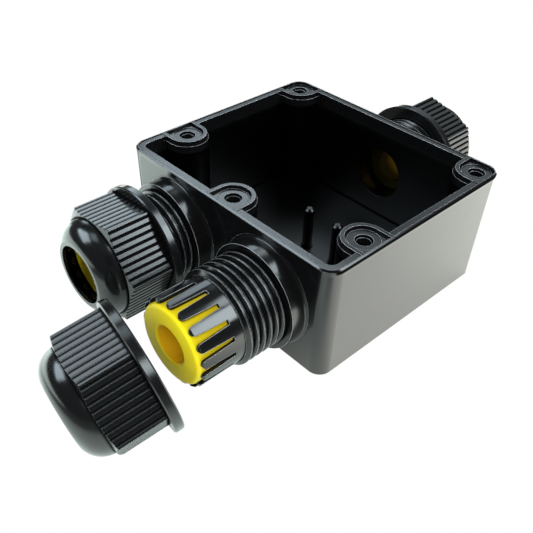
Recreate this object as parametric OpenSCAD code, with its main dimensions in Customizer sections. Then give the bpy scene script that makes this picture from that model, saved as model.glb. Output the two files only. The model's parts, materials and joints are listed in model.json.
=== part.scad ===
// Waterproof junction box with three cable glands, open and without its lid.
// X runs along the glands, Z is up, and the origin is the middle of the underside.
// Left and right are as seen from the side that has two glands, which is the -X side.

/* [Box] */
// Length of the box along the glands, over the rim
box_l = 66; // [60:0.5:110]
// Width of the box across the glands, over the rim
box_w = 75; // [72:0.5:120]
// Height of the box from the underside to the top of the rim
box_h = 33.5; // [32:0.5:60]
// Radius of the upright corners, over the rim
corner_r = 4; // [3:0.5:6]
// Thickness of the four walls
wall_t = 2.2; // [1.8:0.1:3]
// Thickness of the floor
floor_t = 2.5; // [1.5:0.1:4]
// Radius of the upright corners inside
inner_r = 2; // [1:0.25:3]
// How far each wall leans in at the foot, for release from the mould
wall_draft = 0.25; // [0:0.05:0.5]
// Chamfer round the underside
foot_chamfer = 0.2; // [0.1:0.1:1.2]

/* [Rim] */
// How far the walls flare outwards to the lip round the rim
lip_out = 0.15; // [0.05:0.05:0.6]
// Height of the flare and the lip together
lip_band = 1.8; // [1:0.1:3]
// Width of the lip, with its chamfer
lip_w = 0.7; // [0.6:0.1:1]
// Chamfer on the outer edge of the lip
lip_edge = 0.45; // [0.1:0.05:0.5]
// How far the lip stands above the rim inside it
lip_rise = 0.2; // [0.2:0.05:0.6]

/* [Screw bosses] */
// Distance of each lid screw from the outer edge of the rim
screw_inset = 4.8; // [4.4:0.1:6]
// How far the screws in the two long sides lie from the middle, towards the pair of glands
side_screw_x = 17; // [12:0.5:22]
// Diameter of the pilot hole for a lid screw
screw_hole_d = 3.6; // [2.5:0.1:4]
// Diameter of the lead-in at the top of a pilot hole
screw_lead_d = 4.5; // [4.1:0.1:5]
// Depth of the lead-in
screw_lead_t = 0.8; // [0.3:0.1:2]
// Depth of a pilot hole below the boss face
screw_depth = 16; // [8:0.5:24]
// Outer radius of the sealing ridge that runs round each screw
ridge_r = 5.6; // [5.2:0.1:6.2]
// Thickness of the sealing ridge
ridge_t = 1; // [0.7:0.1:1.4]
// How far the sealing ridge stands above the rim
ridge_rise = 0.15; // [0.05:0.05:0.15]
// Depth of a boss face below the rim
boss_drop = 0.55; // [0.3:0.05:1.5]
// Diameter of the round seat for a screw head in a boss face
seat_d = 7.8; // [7:0.1:8.4]
// Depth of that seat
seat_t = 0.15; // [0.1:0.05:0.25]
// Width of the ledge outside the sealing ridge
ledge_w = 0.5; // [0.3:0.1:0.8]
// Depth of the ledge below the rim
ledge_drop = 1.1; // [0.6:0.1:2]
// Radius where a ridge runs into the rim
ridge_fillet = 0.5; // [0.3:0.1:2]

/* [Posts] */
// Diameter of the two posts on the floor
post_d = 2.8; // [2:0.1:4]
// Height of the posts above the underside
post_top = 16; // [10:0.5:24]
// Chamfer round the tops of the posts
post_edge = 0.6; // [0.2:0.1:1]
// Distance of the posts from the middle, towards the far gland
post_x = 1.6; // [-6:0.2:8]
// Distance between the two posts
post_gap = 10.8; // [8:0.2:14]
// Distance of the middle of the pair from the middle of the box, towards the right
post_shift = 4.6; // [0:0.2:8]

/* [Gland stubs] */
// Distance of the left and right glands from the middle
gland_y = 17.2; // [17:0.1:20]
// Radius of the smooth collar at the wall
collar_r = 14.1; // [13.6:0.1:14.6]
// Length of the smooth collar
collar_len = 4.45; // [3:0.05:6]
// Radius of the fillet between the wall and a collar
collar_fillet = 0.7; // [0.3:0.1:1]
// Outer diameter of the gland thread
thread_d = 25; // [24.4:0.1:25.2]
// Pitch of the gland thread
thread_pitch = 2; // [1.5:0.1:2.5]
// Number of thread crests on a stub
thread_rows = 6; // [4:1:8]
// Depth of the gland thread
thread_depth = 1.05; // [0.8:0.05:1.1]
// Width of the flat on a thread crest
crest_w = 0.32; // [0.2:0.02:0.5]
// Diameter of the hole through the wall behind a gland
cable_way_d = 16; // [12:0.5:18]
// Length of the hole through the wall, up to the shoulder that the seal sits on
shoulder_len = 4.55; // [3:0.05:8]

/* [Claws] */
// Outer radius of the claws
claw_r = 11.3; // [11:0.05:11.35]
// Thickness of the claws
claw_t = 0.95; // [0.7:0.05:1.1]
// Length of the claws, from the end of the thread
claw_len = 11.95; // [9:0.05:12.5]
// Length of the closed ring at the foot of the claws
claw_ring = 2.65; // [1.5:0.05:4]
// Number of claws on a gland
claw_count = 17; // [12:1:18]
// Width of a slot at its closed end
slot_root = 1.1; // [0.7:0.05:1.4]
// Width of a slot near the tips
slot_tip = 1.9; // [1.2:0.05:2.2]
// Radius of the tips of the claws
tip_r = 1; // [0.5:0.1:1.3]
// Chamfer on the outside of the tips
tip_edge = 0.45; // [0.1:0.05:0.6]
// Turn of the first slot
claw_turn = 13.4; // [0:0.2:30]

/* [Seals] */
// Diameter of the hole for the cable
seal_bore = 9.6; // [6:0.2:12]
// How far a seated seal stands back from the tips of the claws
seal_back = 1.4; // [0.2:0.1:2]
// How far the seal of the open gland has slid out of its seat
seal_slip = 2.1; // [0:0.1:3]
// Radius round the front edge of the seal
seal_edge = 0.9; // [0.4:0.1:1.5]
// Width of the lead-in at each end of the cable hole
seal_lead = 0.5; // [0.3:0.1:1]

/* [Nuts] */
// Diameter of the flange
flange_d = 33; // [32:0.2:34]
// Thickness of the flange
flange_t = 2.3; // [1.6:0.1:3]
// Chamfer on the edges of the flange
flange_edge = 0.3; // [0.1:0.1:0.6]
// Distance between opposite flats
hex_af = 27.2; // [27:0.1:28.2]
// Length of the hexagon along its corners
hex_len = 11.5; // [9:0.5:13]
// How much longer the flats are than the corners
hex_crown = 0.8; // [0.3:0.1:1]
// Number of grooves in one flat
groove_count = 9; // [5:1:11]
// Width of a groove, which is V-shaped
groove_w = 0.8; // [0.5:0.02:1]
// Depth of a groove
groove_depth = 0.42; // [0.2:0.02:0.5]
// Radius of the dome where it leaves the hexagon
dome_r = 13.1; // [12.9:0.05:13.3]
// Length of the straight start of the dome
dome_start = 0.6; // [0.3:0.1:1.5]
// Length of the dome, from the hexagon to the mouth
dome_len = 6.35; // [5.8:0.05:6.8]
// Thickness of the dome
dome_t = 1.1; // [1:0.05:1.35]
// Diameter of the mouth
mouth_d = 15.9; // [13:0.1:17]
// Width of the flat ring round the mouth
mouth_face = 1.1; // [0.6:0.1:1.5]
// Length of the nut's thread, from its open face
nut_thread_len = 8.4; // [6:0.2:9]
// Turn of the left nut's hexagon
left_turn = 36; // [0:1:59]
// Turn of the far nut's hexagon
far_turn = 48; // [0:1:59]

/* [Loose nut] */
// Gap between the seal of the right gland and the middle of the loose nut's open face
loose_gap = 7.15; // [7:0.05:30]
// Distance of the loose nut from the axis of the right gland, towards the right
loose_shift = 0.5; // [-10:0.5:20]
// Angle of the loose nut's axis to the glands, seen from above
loose_yaw = 9.5; // [-30:0.5:30]

/* [Fits] */
// Gap between the flanges of the fitted nuts and the ground
ground_fit = 0.1; // [0.1:0.1:0.6]
// Gap between a seal and the claws round it
seal_fit = 0.1; // [0.05:0.05:0.3]
// Gap between the threads of a stub and its nut, measured from the axis
thread_fit = 0.2; // [0.15:0.05:0.3]
// Gap between the tips of the claws and the inside of a fitted nut's dome
claw_fit = 0.1; // [0.05:0.05:0.3]

/* [Hidden] */
$fn = 96;

// Extra length by which a cut passes a face, and depth to which a piece is rooted in its neighbour
past = 1;
root_in = 0.5;
// Angle of the arc that rounds a claw's tip, which stops short of the end face
tip_arc = 75;
// Radius by which the cone on the hexagon of a nut stands clear of its corners and flats
crown_fit = 0.1;
// Slope of a thread flank, and part of a turn without thread at the open face of a nut
flank_angle = 30;
lead_turn = 0.35;
black = [0.07, 0.07, 0.075];
yellow = [0.85, 0.8, 0.12];

// Outer and inner faces of the walls, and the levels at the top of the box
wall_x = box_l / 2 - lip_out;
wall_y = box_w / 2 - lip_out;
wall_r = corner_r - lip_out;
inner_x = wall_x - wall_t;
inner_y = wall_y - wall_t;
lip_x = box_l / 2 - lip_w;
lip_y = box_w / 2 - lip_w;
lip_r = corner_r - lip_w;
flare_z = box_h - lip_band;
rim_z = box_h - lip_rise;
ridge_z = rim_z + ridge_rise;
ridge_in = ridge_r - ridge_t;
boss_z = rim_z - boss_drop;
ledge_z = rim_z - ledge_drop;
ledge_r = ridge_r + ledge_w;

// Each boss is [x, y, way to the nearest wall along X, way to the nearest wall along Y]
screw_x = box_l / 2 - screw_inset;
screw_y = box_w / 2 - screw_inset;
BOSSES = [
    [-screw_x, 0, -1, 0],
    [-side_screw_x, -screw_y, 0, -1],
    [-side_screw_x, screw_y, 0, 1],
    [screw_x, -screw_y, 1, -1],
    [screw_x, screw_y, 1, 1]
];

// Each gland is [side of the box along X, y], and all three have their axes at one height
LEFT = [-1, gland_y];
RIGHT = [-1, -gland_y];
FAR = [1, 0];
GLANDS = [LEFT, RIGHT, FAR];
gland_z = flange_d / 2 + ground_fit;

// Sizes of a stub, with lengths from the outer face of the wall
thread_r = thread_d / 2;
core_r = thread_r - thread_depth;
crest_half = crest_w / 2;
thread_foot = crest_half + thread_depth * tan(flank_angle);
thread_end = collar_len + thread_rows * thread_pitch;
claw_in = claw_r - claw_t;
claw_end = thread_end + claw_len;
slot_z = thread_end + claw_ring;
seal_r = claw_in - seal_fit;
seal_len = claw_end - seal_back - shoulder_len;
seal_end = shoulder_len + seal_len + seal_slip;

// Sizes of a nut, with lengths from its open face
hex_end = flange_t + hex_len;
hex_top = hex_end + hex_crown;
hex_corner = hex_af / 2 / cos(30);
nut_len = hex_end + dome_len;
nut_root_r = thread_r + thread_fit;
nut_crest_r = core_r + thread_fit;
mouth_r = mouth_d / 2;
dome_z = hex_end + dome_start;
dome_drop = dome_r - mouth_r - mouth_face;
dome_round = (dome_drop ^ 2 + (nut_len - dome_z) ^ 2) / (2 * dome_drop);
dome_hub = dome_r - dome_round;
shell_round = dome_round - dome_t;

// A fitted nut stands where its dome meets the claws, and its thread rows lie between the stub's
tip_z = dome_z + sqrt(shell_round ^ 2 - (claw_r + claw_fit - dome_hub) ^ 2);
nut_stand = claw_end - tip_edge - tip_z;
turns_out = (nut_stand - collar_len) / thread_pitch;
nut_row_z = (ceil(turns_out + lead_turn) - turns_out) * thread_pitch;
nut_rows = 1 + floor((nut_thread_len - thread_foot - nut_row_z) / thread_pitch);

// The loose nut rests on the rim of its flange and on the far edge of one flat
flange_land = flange_t - flange_edge;
rest_tilt = atan((flange_d - hex_af) / 2 / (hex_top - flange_land));
rest_z = flange_d / 2 * cos(rest_tilt) + flange_land * sin(rest_tilt);
loose_x = wall_x + seal_end + loose_gap;
loose_y = gland_y + loose_shift;
loose_turn = 30;

// Rows of a ring thread, as [radius, z] points that rise from base_r to tip_r and fall back
function thread_points(first_z, rows, base_r, tip_r) = [
    for (k = [0 : rows - 1])
        let (z = first_z + k * thread_pitch)
        each [
            [base_r, z - thread_foot],
            [tip_r, z - crest_half],
            [tip_r, z + crest_half],
            [base_r, z + thread_foot]
        ]
];

// Rectangle with round corners about the middle of the box
module round_plan(half_l, half_w, r) {
    square([2 * half_l, 2 * (half_w - r)], center = true);
    square([2 * (half_l - r), 2 * half_w], center = true);
    for (sx = [-1, 1], sy = [-1, 1]) {
        translate([sx * (half_l - r), sy * (half_w - r)]) circle(r);
    }
}

// Rectangle between two opposite corners, given in any order
module span(x0, y0, x1, y1) {
    translate([min(x0, x1), min(y0, y1)]) square([abs(x1 - x0), abs(y1 - y0)]);
}

// Plan of a boss: a round end at the screw, and straight sides out past the wall or walls
module boss_plan(b, r) {
    reach = screw_inset + past;
    translate([b[0], b[1]]) {
        circle(r);
        if (b[2] != 0) span(0, b[3] == 0 ? -r : -r * b[3], reach * b[2], b[3] == 0 ? r : reach * b[3]);
        if (b[3] != 0) span(b[2] == 0 ? -r : -r * b[2], 0, b[2] == 0 ? r : reach * b[2], reach * b[3]);
    }
}

// Fillet in the inner corner at x, y, open towards sx, sy
module fillet_plan(x, y, sx, sy) {
    f = ridge_fillet;
    translate([x, y]) difference() {
        span(-sx * root_in, -sy * root_in, sx * f, sy * f);
        translate([sx * f, sy * f]) circle(f);
    }
}

// Fillets where the two sides of a boss run into the rim
module boss_fillets(b, r) {
    for (s = [-1, 1]) {
        if (b[3] == 0) fillet_plan(b[2] * inner_x, b[1] + s * r, -b[2], s);
        if (b[2] == 0) fillet_plan(b[0] + s * r, b[3] * inner_y, s, -b[3]);
    }
    if (b[2] != 0 && b[3] != 0) {
        fillet_plan(b[2] * inner_x, b[1] - b[3] * r, -b[2], -b[3]);
        fillet_plan(b[0] - b[2] * r, b[3] * inner_y, -b[2], -b[3]);
    }
}

// Plan of the hollow, with bosses of radius r standing in it
module hollow_plan(r) {
    difference() {
        round_plan(inner_x, inner_y, inner_r);
        for (b = BOSSES) {
            boss_plan(b, r);
            boss_fillets(b, r);
        }
    }
}

// Plan of the bosses with radius r, as far as the lip
module inside_lip(r) {
    intersection() {
        round_plan(lip_x, lip_y, lip_r);
        for (b = BOSSES) boss_plan(b, r);
    }
}

// Block between two levels, whose sides are set in by in0 below and in1 above
module leaning_block(z0, z1, in0, in1) {
    mid_x = wall_x - wall_r;
    mid_y = wall_y - wall_r;
    rotate([90, 0, 90]) linear_extrude(2 * mid_x, center = true)
        polygon([[in0 - wall_y, z0], [wall_y - in0, z0], [wall_y - in1, z1], [in1 - wall_y, z1]]);
    rotate([90, 0, 0]) linear_extrude(2 * mid_y, center = true)
        polygon([[in0 - wall_x, z0], [wall_x - in0, z0], [wall_x - in1, z1], [in1 - wall_x, z1]]);
    for (sx = [-1, 1], sy = [-1, 1]) {
        translate([sx * mid_x, sy * mid_y, z0]) cylinder(h = z1 - z0, r1 = wall_r - in0, r2 = wall_r - in1);
    }
}

module layer(z0, z1) {
    translate([0, 0, z0]) linear_extrude(z1 - z0) children();
}

// Box without its glands: walls, floor, rim, bosses and posts
module shell() {
    difference() {
        union() {
            leaning_block(0, foot_chamfer, wall_draft + foot_chamfer, wall_draft);
            leaning_block(foot_chamfer, flare_z, wall_draft, 0);
            leaning_block(flare_z, box_h - lip_edge, 0, -lip_out);
            leaning_block(box_h - lip_edge, box_h, -lip_out, lip_edge - lip_out);
        }
        layer(rim_z, box_h + past) difference() {
            round_plan(lip_x, lip_y, lip_r);
            for (b = BOSSES) boss_plan(b, ridge_r);
        }
        layer(ridge_z, box_h + past) round_plan(lip_x, lip_y, lip_r);
        layer(floor_t, ledge_z) hollow_plan(ledge_r);
        layer(ledge_z, box_h + past) hollow_plan(ridge_r);
        layer(boss_z, box_h + past) inside_lip(ridge_in);
        layer(boss_z - seat_t, box_h + past) intersection() {
            inside_lip(ridge_in);
            for (b = BOSSES) translate([b[0], b[1]]) circle(d = seat_d);
        }
        for (b = BOSSES) translate([b[0], b[1], boss_z]) screw_hole();
    }
    for (s = [-1, 1]) translate([post_x, -post_shift + s * post_gap / 2, 0]) post();
}

module screw_hole() {
    translate([0, 0, -screw_depth]) cylinder(h = screw_depth + past, d = screw_hole_d);
    translate([0, 0, -screw_lead_t]) cylinder(h = screw_lead_t + past, d = screw_lead_d);
}

module post() {
    translate([0, 0, floor_t - root_in]) cylinder(h = post_top - post_edge - floor_t + root_in, d = post_d);
    translate([0, 0, post_top - post_edge]) cylinder(h = post_edge, d1 = post_d, d2 = post_d - 2 * post_edge);
}

// Turns a child that stands on the floor outwards from the wall at gland g
module at_gland(g, out = 0) {
    translate([g[0] * (wall_x + out), g[1], gland_z]) rotate([0, g[0] * 90, 0]) children();
}

// Outside of a stub: fillet at the wall, smooth collar, thread and the tube of the claws
module stub_body() {
    fillet_steps = 6;
    rotate_extrude() polygon(concat(
        [[0, -root_in], [collar_r + collar_fillet, -root_in]],
        [for (k = [0 : fillet_steps])
            let (a = 90 * k / fillet_steps)
            [collar_r + collar_fillet * (1 - sin(a)), collar_fillet * (1 - cos(a))]],
        [[collar_r, collar_len], [core_r, collar_len]],
        thread_points(collar_len + thread_pitch / 2, thread_rows, core_r, thread_r),
        [[core_r, thread_end], [claw_r, thread_end], [claw_r, claw_end - tip_edge]],
        [[claw_r - tip_edge, claw_end], [0, claw_end]]
    ));
}

// Outline of one slot between two claws, as [across, along] points: it widens and rounds the tips
function slot_points() =
    let (
        steps = 5,
        arc_z = claw_end - tip_r,
        arc = [for (k = [0 : steps])
            let (a = tip_arc * k / steps)
            [slot_tip / 2 + tip_r * (1 - cos(a)), arc_z + tip_r * sin(a)]],
        side = concat([[slot_root / 2, slot_z]], arc, [[arc[steps][0], claw_end + past]])
    )
    concat(side, [for (k = [steps + 2 : -1 : 0]) [-side[k][0], side[k][1]]]);

module claw_slots() {
    for (k = [0 : claw_count - 1]) {
        rotate([0, 0, claw_turn + k * 360 / claw_count]) translate([claw_in - past, 0, 0])
            rotate([90, 0, 90]) linear_extrude(claw_t + 2 * past) polygon(slot_points());
    }
}

// Moulding with the walls, the bosses and the three threaded stubs with their claws in one piece
module box() {
    color(black) difference() {
        union() {
            shell();
            for (g = GLANDS) at_gland(g) stub_body();
        }
        for (g = GLANDS) at_gland(g) {
            translate([0, 0, -wall_t - past]) cylinder(h = wall_t + shoulder_len + 2 * past, d = cable_way_d);
            translate([0, 0, shoulder_len]) cylinder(h = claw_end - shoulder_len + past, r = claw_in);
            claw_slots();
        }
    }
}

// Soft sleeve that grips the cable, with a round front edge and a lead-in at both ends of its hole
module seal(g, slip) {
    wide = seal_bore / 2 + seal_lead;
    color(yellow) at_gland(g, shoulder_len + slip) rotate_extrude() difference() {
        union() {
            square([seal_r, seal_len - seal_edge]);
            square([seal_r - seal_edge, seal_len]);
            translate([seal_r - seal_edge, seal_len - seal_edge]) circle(seal_edge);
        }
        translate([0, -past]) square([seal_bore / 2, seal_len + 2 * past]);
        for (z = [0, seal_len]) translate([0, z]) polygon([[0, -wide], [wide, 0], [0, wide]]);
    }
}

// Flange, from the open face upwards
module flange() {
    r = flange_d / 2;
    rotate_extrude() polygon([
        [0, 0],
        [r - flange_edge, 0],
        [r, flange_edge],
        [r, flange_land],
        [r - flange_edge, flange_t],
        [0, flange_t]
    ]);
}

// Hexagon with a comb of grooves cut into each flat, and with its corners turned down to a cone
module grip() {
    pitch = hex_corner / groove_count;
    past_w = groove_w / 2 * (1 + past / groove_depth);
    cone_r = hex_corner + crown_fit;
    cone_fall = (hex_corner - hex_af / 2) / hex_crown;
    cone_len = hex_crown + past;
    intersection() {
        layer(flange_t - root_in, hex_top) difference() {
            circle(hex_corner, $fn = 6);
            for (side = [0 : 5], k = [0 : groove_count - 1]) {
                rotate(30 + 60 * side) translate([hex_af / 2, (k - (groove_count - 1) / 2) * pitch])
                    polygon([[-groove_depth, 0], [past, -past_w], [past, past_w]]);
            }
        }
        rotate_extrude() polygon([
            [0, 0],
            [cone_r, 0],
            [cone_r, hex_end],
            [cone_r - cone_fall * cone_len, hex_top + past],
            [0, hex_top + past]
        ]);
    }
}

module dome() {
    rotate_extrude() intersection() {
        union() {
            square([dome_r, dome_z]);
            square([dome_hub, nut_len]);
            translate([dome_hub, dome_z]) circle(dome_round);
        }
        translate([0, hex_end - root_in]) square([dome_r + past, dome_len + root_in]);
    }
}

// Inside of a nut: lead-in, thread, room for the claws, round roof and mouth
module nut_hollow() {
    lead_r = nut_root_r + flange_edge;
    rotate_extrude() union() {
        polygon(concat(
            [[0, -past], [lead_r, -past], [lead_r, 0], [nut_root_r, flange_edge]],
            thread_points(nut_row_z, nut_rows, nut_root_r, nut_crest_r),
            [[nut_root_r, nut_thread_len], [0, nut_thread_len]]
        ));
        square([dome_r - dome_t, dome_z]);
        square([mouth_r, nut_len + past]);
        intersection() {
            union() {
                translate([dome_hub, dome_z]) circle(shell_round);
                square([dome_hub, dome_z + shell_round]);
            }
            translate([0, dome_z]) square([dome_r, shell_round]);
        }
    }
}

// Cap nut standing on its open face
module nut() {
    color(black) difference() {
        union() {
            flange();
            grip();
            dome();
        }
        nut_hollow();
    }
}

module seal_left() {
    seal(LEFT, 0);
}

module seal_right() {
    seal(RIGHT, seal_slip);
}

module seal_far() {
    seal(FAR, 0);
}

module nut_left() {
    at_gland(LEFT, nut_stand) rotate([0, 0, left_turn]) nut();
}

module nut_far() {
    at_gland(FAR, nut_stand) rotate([0, 0, far_turn]) nut();
}

// Nut taken off the right gland, lying on one flat beside it
module nut_loose() {
    translate([-loose_x, -loose_y, rest_z]) rotate([0, -90 - rest_tilt, -loose_yaw])
        rotate([0, 0, loose_turn]) nut();
}

box();
seal_left();
seal_right();
seal_far();
nut_left();
nut_far();
nut_loose();
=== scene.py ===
"""Waterproof junction box: plastic and rubber finishes, and the stage it is shown on."""

import json
import math

import bpy
from bpy.props import FloatProperty, FloatVectorProperty, PointerProperty
from mathutils import Matrix, Vector

bl_info = {
    "name": "Waterproof junction box",
    "version": (1, 0, 0),
    "blender": (4, 5, 0),
    "location": "3D View > Sidebar > Junction box",
    "description": "Finishes and stage for a junction box with cable glands",
    "category": "Object",
}

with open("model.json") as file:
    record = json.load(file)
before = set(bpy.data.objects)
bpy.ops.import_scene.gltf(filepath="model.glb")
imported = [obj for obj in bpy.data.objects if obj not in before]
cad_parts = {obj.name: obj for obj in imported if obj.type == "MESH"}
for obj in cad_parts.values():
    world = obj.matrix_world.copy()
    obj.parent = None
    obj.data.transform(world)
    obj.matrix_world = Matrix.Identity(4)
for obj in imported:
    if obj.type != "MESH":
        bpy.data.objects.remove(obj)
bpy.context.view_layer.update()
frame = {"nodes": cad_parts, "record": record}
NODES = frame["nodes"]
MOUNTS = {mount["name"]: mount["pos_m"] for mount in frame["record"]["mounts"]}

# Each seal with the mount in its bore. A mount's place is (x, y, z) in metres.
SEALS = {"seal_left": "cable_left", "seal_right": "cable_right", "seal_far": "cable_far"}
LEFT_Y = MOUNTS["cable_left"][1]
FAR_Y = MOUNTS["cable_far"][1]
BORE_HEIGHT = MOUNTS["cable_left"][2]

# The middle of a fitted nut's grip lies this far from the middle of the box.
GRIP_REACH = 0.05168

# The middle of each nut's grip, and the way from there to its dome.
NUT_AXES = {
    "nut_left": ((-GRIP_REACH, LEFT_Y, BORE_HEIGHT), (-1.0, 0.0, 0.0)),
    "nut_far": ((GRIP_REACH, FAR_Y, BORE_HEIGHT), (1.0, 0.0, 0.0)),
    "nut_loose": ((-0.07646, -0.01647, 0.01481), (-0.9612, 0.1608, -0.2243)),
}

# Bands over which one finish gives way to another, or painted shade sets in, in metres.
# The strip below the rim, where the front wall turns under and a painted shadow lies: its lower
# edge, its upper edge and how far in it reaches.
LIP_LOW = (0.0320, 0.0325)
LIP_HIGH = (0.0331, 0.0334)
LIP_FRONT = (-0.0371, -0.0366)
# The inside of the box: half its length, half its width and its height.
INSIDE_X = (0.0309, 0.0325)
INSIDE_Y = (0.0354, 0.0370)
INSIDE_TOP = (0.0290, 0.0305)
# The ends of a nut's grip towards its dome and its flange, from the middle of the grip.
GRIP_FRONT = (0.0064, 0.0074)
GRIP_BACK = (-0.0064, -0.0060)
# A seal's bore from its axis, the seal's lower part, and its inner and outer end from the middle
# of the box: where the seals' painted shade lies.
BORE_WALL = (0.00485, 0.0052)
SEAL_LOW = (0.004, 0.016)
SEAL_INNER_END = (0.040, 0.046)
SEAL_OUTER_END = (0.044, 0.050)

# Colours of plastic and rubber, which the settings start with.
BLACK = (0.003, 0.0031, 0.0033)
YELLOW = (0.68, 0.57, 0.012)

# Colours of the dust on the plastic, and of the painted highlight on its sharp edges.
DUST = (0.30, 0.31, 0.33, 1.0)
EDGE_HIGHLIGHT = (0.5, 0.53, 0.56, 1.0)

# How far the deepest recesses, and a seal's end inside the box, go over to their painted shade.
DEEPEST = 0.95

# Between these values of the large noise a finish goes from its glossiest to its most matt.
CLOUD = (0.3, 0.7)

# Depth of a bump whose height is 1, in metres.
BUMP_DEPTH = 0.001

# Colours of the light from the panels, the room and the ground.
COOL = (0.76, 0.91, 1.0)
PALE = (0.84, 0.96, 1.0)
WARM = (1.0, 0.97, 0.95)
GREENISH = (0.98, 1.0, 0.95)
ROOM = (0.96, 0.99, 1.0)
WHITE = (1.0, 1.0, 1.0, 1.0)
GROUND = (0.86, 1.0, 0.95, 1.0)
GROUND_IN_FRONT = (0.98, 1.0, 0.93, 1.0)

# The panels' distance from the middle of the box, in metres.
PANEL_DISTANCE = 0.6

# The ground: how far it lies below the box, its least brightness and the one near the nuts, the
# middle of the left and the loose nut on it, and the bands over which its bright parts fade. The
# front part's edge runs askew, by this share of the way along Y. Lengths are in metres.
GROUND_DROP = 0.0006
GROUND_LEAST = 0.3
GROUND_NEAR_NUTS = 1.6
GROUND_SKEW = 0.3
NUTS_MIDDLE = (-0.085, -0.010, 0.0)
NEAR_NUTS = (0.035, 0.080)
GROUND_FRONT_X = (-0.045, -0.010)
GROUND_FRONT_Y = (-0.15, -0.09)
GROUND_BEHIND_X = (-0.050, -0.030)
GROUND_BEHIND_Y = (0.030, 0.070)

# The gauze over the box lies at this height between its walls. The other one stands in the left
# nut's mouth, at this place along X. Each lets its share of the light through.
BOX_GAUZE_HEIGHT = 0.030
BOX_GAUZE_SIZE = (0.060, 0.069)
BOX_GAUZE_SHARE = 0.07
MOUTH_GAUZE_X = -0.0635
MOUTH_GAUZE_SIZE = (0.014, 0.014)
MOUTH_GAUZE_SHARE = 0.06

# The camera stands where the photograph was taken from: its place, the turn from the world's axes
# to its own as an axis as long as the angle, the film's width in millimetres and its shift.
CAMERA_PLACE = Vector((-0.11884, -0.10480, 0.12349))
CAMERA_TURN = Vector((2.176, -0.827, 0.390))
FILM_WIDTH = 36.0
FILM_SHIFT = (0.0325, 0.0527)


# Shader maths


class Value:
    """An output of a shader node that takes part in sums and products."""

    def __init__(self, shader, socket):
        self.shader = shader
        self.socket = socket

    def _maths(self, operation, *values):
        inputs = dict(enumerate(values))
        return self.shader.add("ShaderNodeMath", {"operation": operation}, inputs)

    def __abs__(self):
        return self._maths("ABSOLUTE", self)

    def __add__(self, other):
        return self._maths("ADD", self, other)

    def __radd__(self, other):
        return self._maths("ADD", other, self)

    def __sub__(self, other):
        return self._maths("SUBTRACT", self, other)

    def __rsub__(self, other):
        return self._maths("SUBTRACT", other, self)

    def __mul__(self, other):
        return self._maths("MULTIPLY", self, other)

    def __rmul__(self, other):
        return self._maths("MULTIPLY", other, self)


class Shader:
    """A node tree under construction."""

    def __init__(self, tree):
        self.tree = tree
        tree.nodes.clear()

    def add(self, kind, settings=None, inputs=None, output=0):
        """Adds a node, sets it, fills its inputs with values or links, and returns one output."""
        node = self.tree.nodes.new(kind)
        for name, value in (settings or {}).items():
            setattr(node, name, value)
        for name, value in (inputs or {}).items():
            if isinstance(value, Value):
                self.tree.links.new(value.socket, node.inputs[name])
            else:
                node.inputs[name].default_value = value
        return Value(self, node.outputs[output]) if len(node.outputs) else None

    def coords(self):
        return self.add("ShaderNodeTexCoord", output="Object")

    def axes(self, coords):
        """The three coordinates of a place."""
        inputs = {"Vector": coords}
        return [self.add("ShaderNodeSeparateXYZ", inputs=inputs, output=axis) for axis in range(3)]

    def vectors(self, operation, first, second, output=0):
        """Vector maths. Output 1 is the one for a dot product or a distance."""
        inputs = {0: first, 1: second}
        return self.add("ShaderNodeVectorMath", {"operation": operation}, inputs, output)

    def facing(self):
        """The way that the plain surface points, without its bumps."""
        return self.add("ShaderNodeNewGeometry", output="True Normal")

    def rounded(self, radius, samples):
        """The way that the surface points once its sharp edges are rounded off."""
        return self.add("ShaderNodeBevel", {"samples": samples}, {"Radius": radius})

    def noise(self, coords, scale, detail):
        inputs = {"Vector": coords, "Scale": scale, "Detail": detail}
        return self.add("ShaderNodeTexNoise", inputs=inputs)

    def smooth(self, value, low, high, start=0.0, end=1.0):
        """Runs from start to end while value runs from low to high."""
        return self.add(
            "ShaderNodeMapRange",
            {"interpolation_type": "SMOOTHSTEP"},
            {"Value": value, "From Min": low, "From Max": high, "To Min": start, "To Max": end},
        )

    def above(self, value, band, top=1.0):
        """0 below the band and top above it."""
        return self.smooth(value, *band, 0.0, top)

    def below(self, value, band, top=1.0):
        """top below the band and 0 above it."""
        return self.smooth(value, *band, top, 0.0)

    def blend(self, factor, first, second):
        """Mixes two colours."""
        inputs = {0: factor, 6: first, 7: second}
        return self.add("ShaderNodeMix", {"data_type": "RGBA"}, inputs, output=2)

    def openness(self, reach):
        """1 where nothing stands within reach over the surface, less in grooves and corners."""
        settings = {"samples": 8}
        return self.add("ShaderNodeAmbientOcclusion", settings, {"Distance": reach}, output=1)

    def bump(self, height, normal):
        inputs = {"Height": height, "Distance": BUMP_DEPTH, "Strength": 1.0, "Normal": normal}
        return self.add("ShaderNodeBump", inputs=inputs)


def new_material(name):
    material = bpy.data.materials.new(name)
    material.use_nodes = True
    return material, Shader(material.node_tree)


def rgba(colour, factor=1.0):
    """A colour as a shader socket takes it, its channels multiplied by one factor."""
    return (*(channel * factor for channel in colour), 1.0)


def tinted(colour, red, green, blue):
    """A colour with each channel multiplied by its own factor."""
    return (colour[0] * red, colour[1] * green, colour[2] * blue, 1.0)


def finish(name, material):
    """Gives a CAD node a material in place of the plain one that it came with."""
    materials = NODES[name].data.materials
    materials.clear()
    materials.append(material)


# Finishes


def shadow_below_rim(shader, y, z):
    """1 on the narrow strip of the front wall just below the rim, where a painted shadow lies."""
    return shader.above(z, LIP_LOW) * shader.below(z, LIP_HIGH) * shader.below(y, LIP_FRONT)


def inside_box(shader, x, y, z):
    """1 on the floor, on the bosses and on the walls' inner faces."""
    length = shader.below(abs(x), INSIDE_X)
    return length * shader.below(abs(y), INSIDE_Y) * shader.below(z, INSIDE_TOP)


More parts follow.
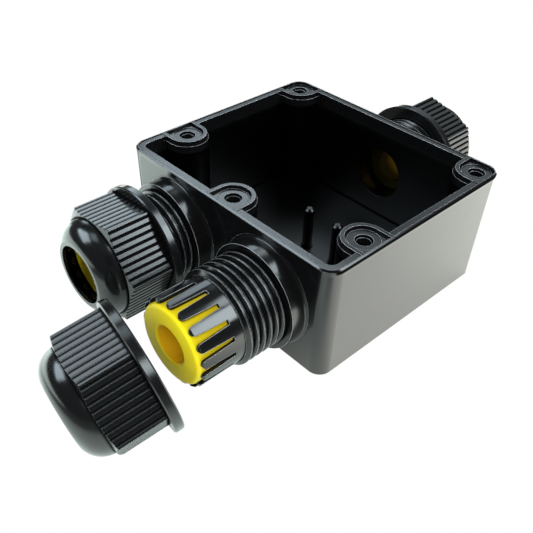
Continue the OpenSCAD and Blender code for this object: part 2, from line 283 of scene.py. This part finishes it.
def moulded_plastic(
    name, colour, roughness, ripple, edge_radius, crests, hollows, grip=None, is_box=False
):
    """Glossy moulded plastic: a faint ripple of the skin, fine grain, painted highlights and shade.

    crests says how strongly the sharp edges are painted paler, as a highlight. hollows is (reach,
    low, high) for the painted shade in grooves and corners: how far off their sides count, the
    openness where they are wholly in painted shade, and the one where the surface shines.
    Where grip is given as (point, axis, roughness), the part of a nut behind its dome is that matt.
    With is_box, a painted shadow lies on the front wall just below the rim, and the inside is more
    matt and has no painted highlights.
    """
    material, shader = new_material(name)
    coords = shader.coords()
    cloud = shader.noise(coords, scale=70.0, detail=3.0)
    skin = shader.noise(coords, scale=160.0, detail=1.0)
    grain = shader.noise(coords, scale=2600.0, detail=2.0)
    dust = shader.above(shader.noise(coords, scale=5200.0, detail=2.0), (0.72, 0.80))
    tone = shader.blend(cloud, rgba(colour, 0.8), rgba(colour, 1.25))
    tone = shader.blend(dust * 0.03, tone, DUST)
    edge = shader.rounded(edge_radius, samples=8)
    reach, *fade = hollows
    # Painted shade: grooves and corners go over to a plain diffuse finish, which mirrors nothing.
    shade_mask = shader.below(shader.openness(reach), fade, DEEPEST)
    # Painted highlight: sharp edges, where the rounded-off normal leaves the plain one, go paler.
    flatness = shader.vectors("DOT_PRODUCT", edge, shader.facing(), output=1)
    edge_highlight = shader.below(flatness, (0.80, 0.97))
    height = skin * ripple + grain * 0.003
    shine = shader.smooth(cloud, *CLOUD, roughness * 0.8, roughness * 1.2) + dust * 0.1
    if is_box:
        x, y, z = shader.axes(coords)
        # Painted shadow below the rim: that strip goes over to the plain diffuse finish.
        lip_shadow = shadow_below_rim(shader, y, z)
        shade_mask = lip_shadow + shade_mask * (1.0 - lip_shadow)
        inside = inside_box(shader, x, y, z)
        edge_highlight = edge_highlight * (1.0 - inside)
        shine = shine + inside * 0.2
    if grip:
        point, axis, matt = grip
        from_point = shader.vectors("SUBTRACT", coords, point)
        along = shader.vectors("DOT_PRODUCT", from_point, axis, output=1)
        ribbed = shader.below(along, GRIP_FRONT)
        edge_highlight = edge_highlight * (1.0 - ribbed * shader.above(along, GRIP_BACK))
        shine = shine * (1.0 - ribbed) + ribbed * matt + ribbed * cloud * 0.1
        height = height + grain * ribbed * 0.006
    # The painted highlight lies only outside the painted shade.
    tone = shader.blend(edge_highlight * (1.0 - shade_mask) * crests, tone, EDGE_HIGHLIGHT)
    glossy = shader.add(
        "ShaderNodeBsdfPrincipled",
        inputs={
            "Base Color": tone,
            "Roughness": shine,
            "Specular IOR Level": 0.55,
            "Normal": shader.bump(height, edge),
        },
    )
    # Painted shade: plain diffuse plastic, mixed in over grooves, corners and the strip below the
    # rim.
    painted_shade = shader.add("ShaderNodeBsdfDiffuse", inputs={"Color": rgba(colour)})
    surface = shader.add("ShaderNodeMixShader", inputs={0: shade_mask, 1: glossy, 2: painted_shade})
    shader.add("ShaderNodeOutputMaterial", inputs={"Surface": surface})
    return material


def soft_rubber(name, colour, roughness, bore_y):
    """Matt rubber with a fine grain, warmer patches and painted shade.

    The painted shade makes the creases amber, the outer part of the bore orange, the lower part
    warmer and darker, and the end inside the box dark. The bore's axis runs along X, at bore_y.
    """
    material, shader = new_material(name)
    coords = shader.coords()
    cloud = shader.noise(coords, scale=120.0, detail=3.0)
    grain = shader.noise(coords, scale=3000.0, detail=3.0)
    warm = tinted(colour, 0.94, 0.80, 0.8)
    orange = tinted(colour, 0.92, 0.60, 0.6)
    amber = tinted(colour, 0.62, 0.54, 0.6)
    x, _, z = shader.axes(coords)
    axis = shader.add("ShaderNodeCombineXYZ", inputs={0: x, 1: bore_y, 2: BORE_HEIGHT})
    from_axis = shader.vectors("DISTANCE", coords, axis, output=1)
    outward = abs(x)
    # Painted shade: orange in the outer part of the bore and amber in the creases.
    bore = shader.below(from_axis, BORE_WALL) * shader.above(outward, SEAL_OUTER_END)
    fold_shade = shader.below(shader.openness(reach=0.003), (0.4, 0.92), DEEPEST)
    tone = shader.blend(shader.above(cloud, (0.4, 0.75), 0.3), rgba(colour), warm)
    # Painted shade: the lower part goes warmer and darker.
    tone = shader.blend(shader.below(z, SEAL_LOW, 0.7), tone, warm)
    tone = shader.blend(fold_shade, tone, amber)
    tone = shader.blend(bore, tone, orange)
    # Painted shade: the end inside the box goes dark.
    inner_end_shade = shader.below(outward, SEAL_INNER_END, DEEPEST)
    tone = shader.blend(inner_end_shade, tone, rgba(colour, 0.03))
    surface = shader.add(
        "ShaderNodeBsdfPrincipled",
        inputs={
            "Base Color": tone,
            "Roughness": shader.smooth(cloud, *CLOUD, roughness * 0.9, roughness * 1.15),
            "Specular IOR Level": 0.2,
            "Subsurface Weight": 0.3,
            "Subsurface Radius": (0.002, 0.0012, 0.0002),
            "Normal": shader.bump(grain * 0.012, shader.rounded(radius=0.0002, samples=6)),
        },
    )
    shader.add("ShaderNodeOutputMaterial", inputs={"Surface": surface})
    return material


def brightness(name, source, default):
    description = "Brightness of the " + source
    return FloatProperty(name=name, description=description, default=default, min=0.0)


def mattness(name, description, default):
    return FloatProperty(name=name, description=description, default=default, min=0.02, max=1.0)


class BoxSettings(bpy.types.PropertyGroup):
    colour: FloatVectorProperty(
        name="Plastic", description="Colour of the box", subtype="COLOR", default=BLACK
    )
    roughness: mattness("Roughness", "How matt the box is", 0.16)


class NutSettings(bpy.types.PropertyGroup):
    colour: FloatVectorProperty(
        name="Plastic", description="Colour of the nuts", subtype="COLOR", default=BLACK
    )
    roughness: mattness("Roughness", "How matt the domes are", 0.17)
    grip: mattness("Grip", "How matt the grooved grips and flanges are", 0.14)


class SealSettings(bpy.types.PropertyGroup):
    colour: FloatVectorProperty(
        name="Rubber", description="Colour of the seals", subtype="COLOR", default=YELLOW
    )
    roughness: mattness("Roughness", "How matt the seals are", 0.42)


class StageSettings(bpy.types.PropertyGroup):
    window: brightness("Window", "large window at the back left", 8.0)
    back: brightness("Back", "panel that the rim mirrors", 3.5)
    lamp: brightness("Lamp", "panel at the front right", 10.5)
    side: brightness("Side", "panels that only the nuts mirror", 9.0)
    overhead: brightness("Overhead", "panels overhead", 7.0)
    low_right: brightness("Low right", "low panel at the right", 0.75)
    fill: brightness("Fill", "soft light on the plastic", 7.0)
    front_fill: brightness("Front fill", "soft light on the seals", 6.4)
    ground: brightness("Ground", "ground away from the box", 2.95)
    room: brightness("Room", "room all round", 0.08)
    lens: FloatProperty(
        name="Lens",
        description="Focal length of the camera in millimetres",
        default=44.78,
        min=10.0,
    )


class JUNCTION_OT_box(bpy.types.Operator):
    """Gives the box its glossy black plastic"""

    bl_idname = "junction.box"
    bl_label = "Box"

    def execute(self, context):
        settings = context.scene.junction_box
        plastic = moulded_plastic(
            "Box plastic",
            settings.colour,
            settings.roughness,
            ripple=0.02,
            edge_radius=0.0002,
            crests=0.9,
            hollows=(0.0012, 0.64, 0.90),
            is_box=True,
        )
        finish("box", plastic)
        return {"FINISHED"}


class JUNCTION_OT_nuts(bpy.types.Operator):
    """Gives the cap nuts their black plastic"""

    bl_idname = "junction.nuts"
    bl_label = "Nuts"

    def execute(self, context):
        settings = context.scene.junction_nuts
        for name, (point, axis) in NUT_AXES.items():
            plastic = moulded_plastic(
                "Plastic " + name,
                settings.colour,
                settings.roughness,
                ripple=0.012,
                edge_radius=0.00014,
                crests=0.3,
                hollows=(0.0008, 0.76, 0.97),
                grip=(point, axis, settings.grip),
            )
            finish(name, plastic)
        return {"FINISHED"}


class JUNCTION_OT_seals(bpy.types.Operator):
    """Gives the cable seals their yellow rubber"""

    bl_idname = "junction.seals"
    bl_label = "Seals"

    def execute(self, context):
        settings = context.scene.junction_seals
        for name, mount in SEALS.items():
            bore_y = MOUNTS[mount][1]
            finish(name, soft_rubber("Rubber " + name, settings.colour, settings.roughness, bore_y))
        return {"FINISHED"}


# Stage


def glow(name, colour, strength, half_w, half_h, soft):
    """Light of a panel, which fades out towards its edges."""
    material, shader = new_material(name)
    x, y, _ = shader.axes(shader.coords())
    fade = shader.below(abs(x), (half_w * (1 - soft), half_w))
    fade = fade * shader.below(abs(y), (half_h * (1 - soft), half_h))
    inputs = {"Color": rgba(colour), "Strength": fade * strength}
    light = shader.add("ShaderNodeEmission", inputs=inputs)
    shader.add("ShaderNodeOutputMaterial", inputs={"Surface": light})
    return material


def panel(name, azimuth, elevation, across, along, colour, strength, soft, receivers=None):
    """A lit panel that only reflections and light show.

    azimuth runs from +X towards +Y, and across and along are the panel's sizes, all in degrees.
    soft is the share of the panel over which its light fades, and receivers are what it lights.
    """
    half_w = PANEL_DISTANCE * math.tan(math.radians(across) / 2)
    half_h = PANEL_DISTANCE * math.tan(math.radians(along) / 2)
    azimuth = math.radians(azimuth)
    elevation = math.radians(elevation)
    level = math.cos(elevation)
    way = Vector((math.cos(azimuth) * level, math.sin(azimuth) * level, math.sin(elevation)))
    bpy.ops.mesh.primitive_plane_add(size=2.0)
    board = bpy.context.object
    board.name = name
    board.data.transform(Matrix.Diagonal((half_w, half_h, 1.0, 1.0)))
    board.location = way * PANEL_DISTANCE
    board.rotation_euler = way.to_track_quat("Z", "Y").to_euler()
    board.visible_camera = False
    board.visible_shadow = False
    board.data.materials.append(glow(name, colour, strength, half_w, half_h, soft))
    board.light_linking.receiver_collection = receivers
    return board


def lit_nodes(name, nodes, link_state="INCLUDE"):
    """What a panel lights: these CAD nodes, or with EXCLUDE all but these."""
    collection = bpy.data.collections.new(name)
    for node in nodes:
        collection.objects.link(NODES[node])
    for entry in collection.collection_objects:
        entry.light_linking.link_state = link_state
    return collection


def panels(settings):
    """The panels that the plastic mirrors, some of them for one nut each, and two soft lights.

    The seals get no light from the brightest panels, and have a soft light of their own.
    """
    not_seals = lit_nodes("Not lit by the mirrored panels", SEALS, "EXCLUDE")
    only_seals = lit_nodes("Lit by the front fill", SEALS)
    only_loose = lit_nodes("Lit by the side panel", ["nut_loose"])
    only_left = lit_nodes("Lit from behind and over the lamp", ["nut_left"])
    window, overhead, side = settings.window, settings.overhead, settings.side
    # Name, azimuth, elevation, width, height, colour, brightness, soft share and what it lights.
    panel("Window", 132.0, 41.0, 40.0, 30.0, COOL, window, 0.3, not_seals)
    panel("Window top", 140.0, 68.0, 28.0, 24.0, COOL, window * 0.35, 0.6, not_seals)
    panel("Back", 57.0, 37.0, 34.0, 20.0, COOL, settings.back, 0.35, not_seals)
    panel("Lamp", -57.0, 43.0, 26.0, 42.0, PALE, settings.lamp, 0.4, not_seals)
    panel("Overhead", -36.0, 60.0, 34.0, 22.0, PALE, overhead, 0.5, not_seals)
    panel("Overhead right", 22.0, 50.0, 40.0, 16.0, PALE, overhead * 0.6, 0.6, not_seals)
    panel("Low right", 20.0, 31.0, 70.0, 22.0, PALE, settings.low_right, 0.3)
    panel("Side", -118.0, 41.0, 26.0, 26.0, PALE, side, 0.6, only_loose)
    panel("Behind the loose nut", 104.0, 47.0, 30.0, 22.0, COOL, side * 0.5, 0.5, only_loose)
    panel("Low behind", 71.0, 27.0, 34.0, 24.0, COOL, side * 0.5, 0.5, only_left)
    panel("Over the lamp", -54.0, 62.0, 34.0, 24.0, COOL, side * 0.9, 0.5, only_left)
    for_plastic = panel("Fill", -125.0, 50.0, 70.0, 50.0, WARM, settings.fill, 0.5, not_seals)
    for_plastic.visible_glossy = False
    strength = settings.front_fill
    for_seals = panel("Front fill", -143.0, 41.0, 90.0, 60.0, GREENISH, strength, 0.5, only_seals)
    for_seals.visible_glossy = False


def ground(strength):
    """The ground as the sides mirror it: pale away from the box, dim on the camera's side."""
    bpy.ops.mesh.primitive_plane_add(size=3.0, location=(0.0, 0.0, -GROUND_DROP))
    plane = bpy.context.object
    plane.name = "Ground"
    plane.visible_camera = False
    plane.visible_shadow = False
    material, shader = new_material("Ground")
    coords = shader.coords()
    x, y, _ = shader.axes(coords)
    askew = x - y * GROUND_SKEW
    front = shader.above(askew, GROUND_FRONT_X) * shader.above(y, GROUND_FRONT_Y)
    behind = shader.above(y, GROUND_BEHIND_Y) * shader.below(x, GROUND_BEHIND_X)
    from_nuts = shader.vectors("DISTANCE", coords, NUTS_MIDDLE, output=1)
    near = shader.below(from_nuts, NEAR_NUTS, GROUND_NEAR_NUTS)
    # Painted shadow: the ground is darker where the box and nuts stand close over it.
    ground_shadow = shader.openness(reach=0.05) * 0.75 + 0.25
    bright = (front + behind) * strength + near * (1.0 - front) + GROUND_LEAST
    inputs = {"Color": shader.blend(front, GROUND, GROUND_IN_FRONT), "Strength": bright * ground_shadow}
    light = shader.add("ShaderNodeEmission", inputs=inputs)
    shader.add("ShaderNodeOutputMaterial", inputs={"Surface": light})
    plane.data.materials.append(material)


def shade(name, size, place, turn, share, dims_reflections=False):
    """A dark gauze over an opening, unseen itself, that lets only a share of the light in."""
    bpy.ops.mesh.primitive_plane_add(size=1.0, location=place, rotation=turn)
    gauze = bpy.context.object
    gauze.name = name
    gauze.data.transform(Matrix.Diagonal((*size, 1.0, 1.0)))
    gauze.visible_camera = False
    gauze.visible_glossy = dims_reflections
    gauze.visible_transmission = False
    material, shader = new_material(name)
    cloth = shader.add("ShaderNodeBsdfTransparent", inputs={"Color": (share, share, share, 1.0)})
    shader.add("ShaderNodeOutputMaterial", inputs={"Surface": cloth})
    gauze.data.materials.append(material)


def studio_world(strength):
    """A dim room whose walls the camera sees as plain white."""
    world = bpy.data.worlds.new("Studio")
    world.use_nodes = True
    shader = Shader(world.node_tree)
    seen = shader.add("ShaderNodeLightPath", output="Is Camera Ray")
    sky = shader.blend(seen, rgba(ROOM, strength), WHITE)
    light = shader.add("ShaderNodeBackground", inputs={"Color": sky, "Strength": 1.0})
    shader.add("ShaderNodeOutputWorld", inputs={"Surface": light})
    return world


def photograph_camera(focal_length):
    """The camera at the place that the photograph was taken from, with its framing."""
    lens = bpy.data.cameras.new("Photograph")
    lens.lens = focal_length
    lens.sensor_width = FILM_WIDTH
    lens.shift_x, lens.shift_y = FILM_SHIFT
    lens.clip_start = 0.005
    camera = bpy.data.objects.new("Photograph", lens)
    to_camera = Matrix.Rotation(CAMERA_TURN.length, 3, CAMERA_TURN.normalized())
    to_world = to_camera.transposed() @ Matrix.Diagonal((1.0, -1.0, -1.0))
    camera.matrix_world = Matrix.Translation(CAMERA_PLACE) @ to_world.to_4x4()
    return camera


class JUNCTION_OT_stage(bpy.types.Operator):
    """Sets up the camera, the white background and the lit panels"""

    bl_idname = "junction.stage"
    bl_label = "Stage"

    def execute(self, context):
        scene = context.scene
        settings = scene.junction_stage
        scene.view_settings.view_transform = "Standard"
        scene.world = studio_world(settings.room)
        panels(settings)
        over_box = (0.0, 0.0, BOX_GAUZE_HEIGHT)
        in_mouth = (MOUTH_GAUZE_X, LEFT_Y, BORE_HEIGHT)
        level = (0.0, 0.0, 0.0)
        upright = (0.0, math.pi / 2, 0.0)
        shade("Shade over the box", BOX_GAUZE_SIZE, over_box, level, BOX_GAUZE_SHARE)
        shade("Shade over the mouth", MOUTH_GAUZE_SIZE, in_mouth, upright, MOUTH_GAUZE_SHARE, True)
        ground(settings.ground)
        camera = photograph_camera(settings.lens)
        scene.collection.objects.link(camera)
        scene.camera = camera
        return {"FINISHED"}


class JUNCTION_PT_sidebar(bpy.types.Panel):
    """Lists the pieces of the junction box"""

    bl_label = "Junction box"
    bl_space_type = "VIEW_3D"
    bl_region_type = "UI"
    bl_category = "Junction box"

    def draw(self, context):
        for operator, group in STEPS:
            box = self.layout.box()
            box.operator(operator.bl_idname)
            settings = getattr(context.scene, group)
            for name in settings.__annotations__:
                box.prop(settings, name)


STEPS = (
    (JUNCTION_OT_box, "junction_box"),
    (JUNCTION_OT_nuts, "junction_nuts"),
    (JUNCTION_OT_seals, "junction_seals"),
    (JUNCTION_OT_stage, "junction_stage"),
)
GROUPS = {
    "junction_box": BoxSettings,
    "junction_nuts": NutSettings,
    "junction_seals": SealSettings,
    "junction_stage": StageSettings,
}


def register():
    for name, group in GROUPS.items():
        bpy.utils.register_class(group)
        setattr(bpy.types.Scene, name, PointerProperty(type=group))
    for operator, _ in STEPS:
        bpy.utils.register_class(operator)
    bpy.utils.register_class(JUNCTION_PT_sidebar)


def unregister():
    bpy.utils.unregister_class(JUNCTION_PT_sidebar)
    for operator, _ in reversed(STEPS):
        bpy.utils.unregister_class(operator)
    for name, group in GROUPS.items():
        delattr(bpy.types.Scene, name)
        bpy.utils.unregister_class(group)


def main():
    register()
    bpy.ops.object.select_all(action="DESELECT")
    bpy.ops.junction.box()
    bpy.ops.junction.nuts()
    bpy.ops.junction.seals()
    bpy.ops.junction.stage()


if __name__ == "__main__":
    main()
